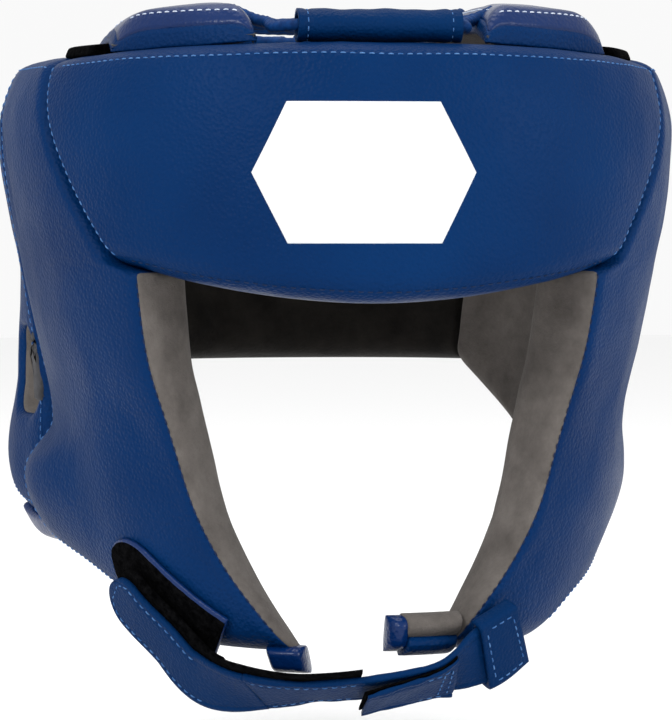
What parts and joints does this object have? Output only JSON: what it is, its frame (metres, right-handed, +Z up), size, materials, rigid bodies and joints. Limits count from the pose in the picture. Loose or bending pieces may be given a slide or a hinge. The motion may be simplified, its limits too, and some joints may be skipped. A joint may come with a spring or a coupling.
{
  "type": "boxing headgear",
  "caption": "Open-face padded boxing headgear with forehead, cheek, ear, rear and crown pads, a crown lace, and hook-and-loop chin and rear straps.",
  "frame": {"origin": "middle of the head cavity at the height of the brow edge, midway between the ears", "axes": "+X to the wearer's left, -Y to the front (the face opening), +Z up through the crown"},
  "size_m": [0.2315, 0.255, 0.2356],
  "materials": {
    "blue_leather": "pebble-grained synthetic leather with a soft sheen",
    "strap_leather": "fine-grained synthetic leather, stitched at the edges",
    "shiny_leather": "smooth glossy synthetic leather binding",
    "grey_suede": "brushed microfibre suede",
    "dark_lining": "near-black brushed lining",
    "foam_core": "closed-cell foam, inside the covers",
    "black_tape": "hook-and-loop tape",
    "lace_braid": "round braided cord",
    "white_print": "heat-pressed white film"
  },
  "bodies": {
    "shell": {"chin_loop_tape": "black_tape", "chin_strap_sleeve": "strap_leather", "crown_lace": "lace_braid", "forehead_cover": "blue_leather", "forehead_foam": "foam_core", "forehead_lining": "grey_suede", "forehead_print": "white_print", "lace_knot": "lace_braid", "lace_sleeve": "strap_leather", "left_cheek_cover": "blue_leather", "left_cheek_foam": "foam_core", "left_cheek_lining": "grey_suede", "left_chin_tab": "shiny_leather", "left_crown_cover": "blue_leather", "left_crown_foam": "foam_core", "left_crown_lining": "grey_suede", "left_crown_tape": "black_tape", "left_ear_cover": "blue_leather", "left_ear_foam": "foam_core", "left_ear_lining": "grey_suede", "left_ear_tab": "shiny_leather", "rear_cover": "blue_leather", "rear_foam": "foam_core", "rear_lining": "dark_lining", "rear_loop_tape": "black_tape", "rear_strap_anchor": "strap_leather", "right_cheek_cover": "blue_leather", "right_cheek_foam": "foam_core", "right_cheek_lining": "grey_suede", "right_chin_tab": "shiny_leather", "right_crown_cover": "blue_leather", "right_crown_foam": "foam_core", "right_crown_lining": "grey_suede", "right_crown_tape": "black_tape", "right_ear_cover": "blue_leather", "right_ear_foam": "foam_core", "right_ear_lining": "grey_suede", "right_ear_tab": "shiny_leather"},
    "chin_strap": {"chin_strap": "strap_leather", "chin_strap_return": "strap_leather"},
    "chin_strap_end": {"chin_strap_end": "strap_leather", "chin_hook_tape": "black_tape"},
    "rear_strap": {"rear_strap": "strap_leather", "rear_hook_tape": "black_tape"}
  },
  "joints": [
    {"name": "chin_strap_swing", "type": "hinge", "parent": "shell", "child": "chin_strap", "pos_m": [0.03555, -0.09834, -0.11386], "axis": [-0.185, -0.4878, 0.8531], "range_deg": [0, 85]},
    {"name": "chin_strap_end_peel", "type": "hinge", "parent": "chin_strap", "child": "chin_strap_end", "pos_m": [-0.04466, -0.08867, -0.12456], "axis": [-0.483, -0.4896, 0.726], "range_deg": [0, 100]},
    {"name": "rear_strap_swing", "type": "hinge", "parent": "shell", "child": "rear_strap", "pos_m": [0.1085, 0.07297, 0.03], "axis": [0, 0, -1], "range_deg": [0, 95]}
  ]
}
